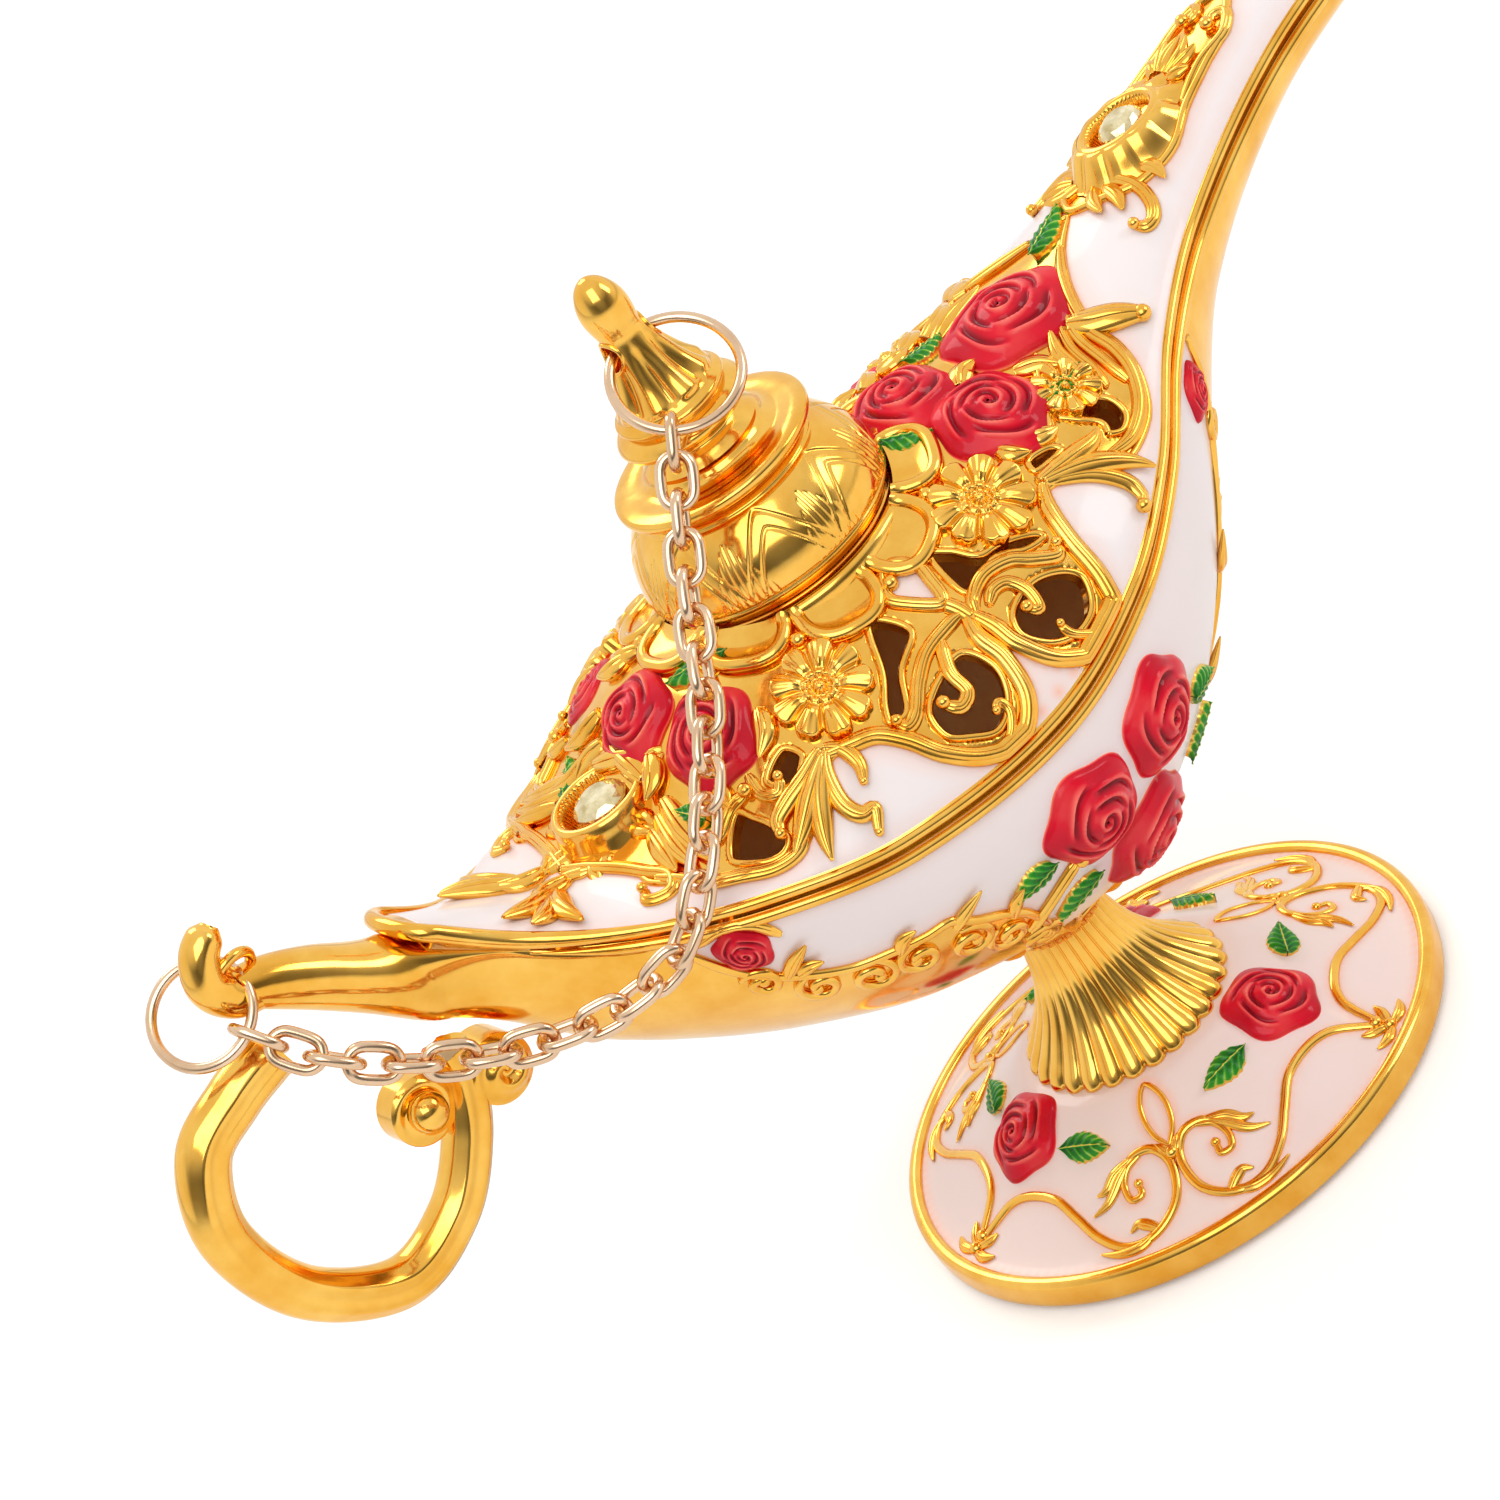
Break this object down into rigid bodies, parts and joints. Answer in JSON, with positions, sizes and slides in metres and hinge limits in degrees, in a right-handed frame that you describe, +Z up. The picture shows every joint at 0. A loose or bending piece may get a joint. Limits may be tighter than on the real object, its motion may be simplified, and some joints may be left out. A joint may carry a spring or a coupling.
{
  "type": "genie lamp",
  "caption": "Enamelled oil-lamp shaped trinket box on a round foot, with a pierced cover, lift-off lid, scrolled handle and a chain from lid to handle.",
  "frame": {"origin": "middle of the whole lamp in plan, at the level of the foot's underside; it lies on the axis of foot and lid", "axes": "+X towards the spout, +Y away from the side where the chain hangs, +Z up"},
  "size_m": [0.1146, 0.04, 0.0724],
  "materials": {
    "gold": "polished gold plating with coloured enamel between raised edges",
    "enamel": "glossy pearl enamel with gold wires and red roses",
    "rose_gold": "polished rose-gold plating",
    "crystal": "cut clear stone with a foil back",
    "steel": "plain"
  },
  "bodies": {
    "lamp_body": {"foot": "enamel", "stem": "gold", "foot_screw": "steel", "bowl": "gold", "cover": "gold", "tail_gem": "crystal", "spout_gem": "crystal", "handle": "gold"},
    "lid_body": {"lid": "gold", "finial": "gold"},
    "lid_ring_body": {"lid_ring": "rose_gold"},
    "handle_ring_body": {"handle_ring": "rose_gold"},
    "link_01_body": {"chain_link_01": "rose_gold"},
    "link_02_body": {"chain_link_02": "rose_gold"},
    "link_03_body": {"chain_link_03": "rose_gold"},
    "link_04_body": {"chain_link_04": "rose_gold"},
    "link_05_body": {"chain_link_05": "rose_gold"},
    "link_06_body": {"chain_link_06": "rose_gold"},
    "link_07_body": {"chain_link_07": "rose_gold"},
    "link_08_body": {"chain_link_08": "rose_gold"},
    "link_09_body": {"chain_link_09": "rose_gold"},
    "link_10_body": {"chain_link_10": "rose_gold"},
    "link_11_body": {"chain_link_11": "rose_gold"},
    "link_12_body": {"chain_link_12": "rose_gold"},
    "link_13_body": {"chain_link_13": "rose_gold"},
    "link_14_body": {"chain_link_14": "rose_gold"},
    "link_15_body": {"chain_link_15": "rose_gold"},
    "link_16_body": {"chain_link_16": "rose_gold"},
    "link_17_body": {"chain_link_17": "rose_gold"},
    "link_18_body": {"chain_link_18": "rose_gold"},
    "link_19_body": {"chain_link_19": "rose_gold"},
    "link_20_body": {"chain_link_20": "rose_gold"},
    "link_21_body": {"chain_link_21": "rose_gold"},
    "link_22_body": {"chain_link_22": "rose_gold"},
    "link_23_body": {"chain_link_23": "rose_gold"},
    "link_24_body": {"chain_link_24": "rose_gold"},
    "link_25_body": {"chain_link_25": "rose_gold"},
    "link_26_body": {"chain_link_26": "rose_gold"}
  },
  "joints": [
    {"name": "lid_lift", "type": "slide", "parent": "lamp_body", "child": "lid_body", "axis": [0, 0, 1], "range_m": [0, 0.015]},
    {"name": "lid_ring_swing", "type": "hinge", "parent": "lid_body", "child": "lid_ring_body", "pos_m": [0, 0, 0.0673], "axis": [1, 0, 0], "range_deg": [0, 9.5]},
    {"name": "handle_ring_swing", "type": "hinge", "parent": "lamp_body", "child": "handle_ring_body", "pos_m": [-0.0445, 0, 0.0574], "axis": [0.03, 0.8207, 0.5705], "range_deg": [0, 2.7]},
    {"name": "link_01_turn", "type": "hinge", "parent": "lamp_body", "child": "link_01_body", "pos_m": [-0.04695, -0.00288, 0.05485], "axis": [0.2717, -0.8545, -0.4428], "range_deg": [0, 23.8]},
    {"name": "link_02_turn", "type": "hinge", "parent": "lamp_body", "child": "link_02_body", "pos_m": [-0.04654, -0.00344, 0.05431], "axis": [-0.253, -0.9619, 0.1038], "range_deg": [0, 34.9]},
    {"name": "link_03_turn", "type": "hinge", "parent": "lamp_body", "child": "link_03_body", "pos_m": [-0.04681, -0.00396, 0.0545], "axis": [-0.259, -0.9596, 0.1098], "range_deg": [0, 33]},
    {"name": "link_04_turn", "type": "hinge", "parent": "lamp_body", "child": "link_04_body", "pos_m": [-0.04717, -0.0042, 0.05477], "axis": [-0.2546, -0.9612, 0.1061], "range_deg": [0, 30.9]},
    {"name": "link_05_turn", "type": "hinge", "parent": "lamp_body", "child": "link_05_body", "pos_m": [-0.04763, -0.00433, 0.05511], "axis": [-0.2499, -0.9629, 0.1024], "range_deg": [0, 29.1]},
    {"name": "link_06_turn", "type": "hinge", "parent": "lamp_body", "child": "link_06_body", "pos_m": [-0.04824, -0.0045, 0.05552], "axis": [-0.2447, -0.9646, 0.0986], "range_deg": [0, 27.5]},
    {"name": "link_07_turn", "type": "hinge", "parent": "lamp_body", "child": "link_07_body", "pos_m": [-0.049, -0.00474, 0.05601], "axis": [-0.2389, -0.9664, 0.0947], "range_deg": [0, 26]},
    {"name": "link_08_turn", "type": "hinge", "parent": "lamp_body", "child": "link_08_body", "pos_m": [-0.04995, -0.00505, 0.05656], "axis": [-0.2321, -0.9685, 0.0905], "range_deg": [0, 24.6]},
    {"name": "link_09_turn", "type": "hinge", "parent": "lamp_body", "child": "link_09_body", "pos_m": [-0.0511, -0.00546, 0.05719], "axis": [-0.2241, -0.9708, 0.0859], "range_deg": [0, 23.2]},
    {"name": "link_10_turn", "type": "hinge", "parent": "lamp_body", "child": "link_10_body", "pos_m": [-0.05248, -0.00596, 0.05789], "axis": [-0.2145, -0.9734, 0.0808], "range_deg": [0, 21.9]},
    {"name": "link_11_turn", "type": "hinge", "parent": "lamp_body", "child": "link_11_body", "pos_m": [-0.05414, -0.00657, 0.05866], "axis": [-0.2029, -0.9763, 0.0754], "range_deg": [0, 20.7]},
    {"name": "link_12_turn", "type": "hinge", "parent": "lamp_body", "child": "link_12_body", "pos_m": [-0.05609, -0.00724, 0.05947], "axis": [-0.1889, -0.9795, 0.0694], "range_deg": [0, 19.5]},
    {"name": "link_13_turn", "type": "hinge", "parent": "lamp_body", "child": "link_13_body", "pos_m": [-0.05835, -0.00777, 0.0603], "axis": [-0.1722, -0.983, 0.0633], "range_deg": [0, 18.3]},
    {"name": "link_14_turn", "type": "hinge", "parent": "lamp_body", "child": "link_14_body", "pos_m": [-0.06094, -0.00801, 0.0611], "axis": [-0.1536, -0.9865, 0.0576], "range_deg": [0, 17.1]},
    {"name": "link_15_turn", "type": "hinge", "parent": "lamp_body", "child": "link_15_body", "pos_m": [-0.06392, -0.00798, 0.06187], "axis": [-0.1339, -0.9896, 0.0526], "range_deg": [0, 15.9]},
    {"name": "link_16_turn", "type": "hinge", "parent": "lamp_body", "child": "link_16_body", "pos_m": [-0.06741, -0.00769, 0.0626], "axis": [-0.1145, -0.9922, 0.0486], "range_deg": [0, 14.8]},
    {"name": "link_17_turn", "type": "hinge", "parent": "lamp_body", "child": "link_17_body", "pos_m": [-0.07157, -0.00725, 0.06332], "axis": [-0.0966, -0.9943, 0.0455], "range_deg": [0, 13.7]},
    {"name": "link_18_turn", "type": "hinge", "parent": "lamp_body", "child": "link_18_body", "pos_m": [-0.07664, -0.00675, 0.06404], "axis": [-0.0805, -0.9958, 0.0432], "range_deg": [0, 12.5]},
    {"name": "link_19_turn", "type": "hinge", "parent": "lamp_body", "child": "link_19_body", "pos_m": [-0.0829, -0.00618, 0.06476], "axis": [-0.0667, -0.9969, 0.0416], "range_deg": [0, 11.4]},
    {"name": "link_20_turn", "type": "hinge", "parent": "lamp_body", "child": "link_20_body", "pos_m": [-0.09078, -0.00543, 0.06548], "axis": [-0.0558, -0.9976, 0.0406], "range_deg": [0, 10.3]},
    {"name": "link_21_turn", "type": "hinge", "parent": "lamp_body", "child": "link_21_body", "pos_m": [-0.10099, -0.00436, 0.06617], "axis": [-0.0491, -0.998, 0.0402], "range_deg": [0, 9.1]},
    {"name": "link_22_turn", "type": "hinge", "parent": "lamp_body", "child": "link_22_body", "pos_m": [-0.11471, -0.00279, 0.06685], "axis": [-0.048, -0.998, 0.0401], "range_deg": [0, 7.9]},
    {"name": "link_23_turn", "type": "hinge", "parent": "lamp_body", "child": "link_23_body", "pos_m": [-0.13425, -0.00019, 0.06747], "axis": [-0.0541, -0.9977, 0.0403], "range_deg": [0, 6.7]},
    {"name": "link_24_turn", "type": "hinge", "parent": "lamp_body", "child": "link_24_body", "pos_m": [-0.16454, 0.00492, 0.06798], "axis": [-0.071, -0.9966, 0.0407], "range_deg": [0, 5.4]},
    {"name": "link_25_turn", "type": "hinge", "parent": "lamp_body", "child": "link_25_body", "pos_m": [-0.21879, 0.01779, 0.06814], "axis": [-0.1092, -0.9932, 0.041], "range_deg": [0, 4.1]},
    {"name": "link_26_turn", "type": "hinge", "parent": "lamp_body", "child": "link_26_body", "pos_m": [-0.35173, 0.0697, 0.06664], "axis": [-0.21, -0.9769, 0.0408], "range_deg": [0, 2.5]}
  ],
  "couplings": [
    {"joint": "lid_ring_swing", "follows": "lid_lift", "rad_per_m": 10.477},
    {"joint": "handle_ring_swing", "follows": "lid_lift", "rad_per_m": 2.9081},
    {"joint": "link_01_turn", "follows": "lid_lift", "rad_per_m": 26.493},
    {"joint": "link_02_turn", "follows": "lid_lift", "rad_per_m": 38.895},
    {"joint": "link_03_turn", "follows": "lid_lift", "rad_per_m": 36.727},
    {"joint": "link_04_turn", "follows": "lid_lift", "rad_per_m": 34.42},
    {"joint": "link_05_turn", "follows": "lid_lift", "rad_per_m": 32.383},
    {"joint": "link_06_turn", "follows": "lid_lift", "rad_per_m": 30.557},
    {"joint": "link_07_turn", "follows": "lid_lift", "rad_per_m": 28.882},
    {"joint": "link_08_turn", "follows": "lid_lift", "rad_per_m": 27.314},
    {"joint": "link_09_turn", "follows": "lid_lift", "rad_per_m": 25.822},
    {"joint": "link_10_turn", "follows": "lid_lift", "rad_per_m": 24.386},
    {"joint": "link_11_turn", "follows": "lid_lift", "rad_per_m": 22.99},
    {"joint": "link_12_turn", "follows": "lid_lift", "rad_per_m": 21.624},
    {"joint": "link_13_turn", "follows": "lid_lift", "rad_per_m": 20.282},
    {"joint": "link_14_turn", "follows": "lid_lift", "rad_per_m": 18.964},
    {"joint": "link_15_turn", "follows": "lid_lift", "rad_per_m": 17.669},
    {"joint": "link_16_turn", "follows": "lid_lift", "rad_per_m": 16.391},
    {"joint": "link_17_turn", "follows": "lid_lift", "rad_per_m": 15.123},
    {"joint": "link_18_turn", "follows": "lid_lift", "rad_per_m": 13.858},
    {"joint": "link_19_turn", "follows": "lid_lift", "rad_per_m": 12.589},
    {"joint": "link_20_turn", "follows": "lid_lift", "rad_per_m": 11.311},
    {"joint": "link_21_turn", "follows": "lid_lift", "rad_per_m": 10.017},
    {"joint": "link_22_turn", "follows": "lid_lift", "rad_per_m": 8.6988},
    {"joint": "link_23_turn", "follows": "lid_lift", "rad_per_m": 7.3398},
    {"joint": "link_24_turn", "follows": "lid_lift", "rad_per_m": 5.9183},
    {"joint": "link_25_turn", "follows": "lid_lift", "rad_per_m": 4.3945},
    {"joint": "link_26_turn", "follows": "lid_lift", "rad_per_m": 2.6674}
  ]
}
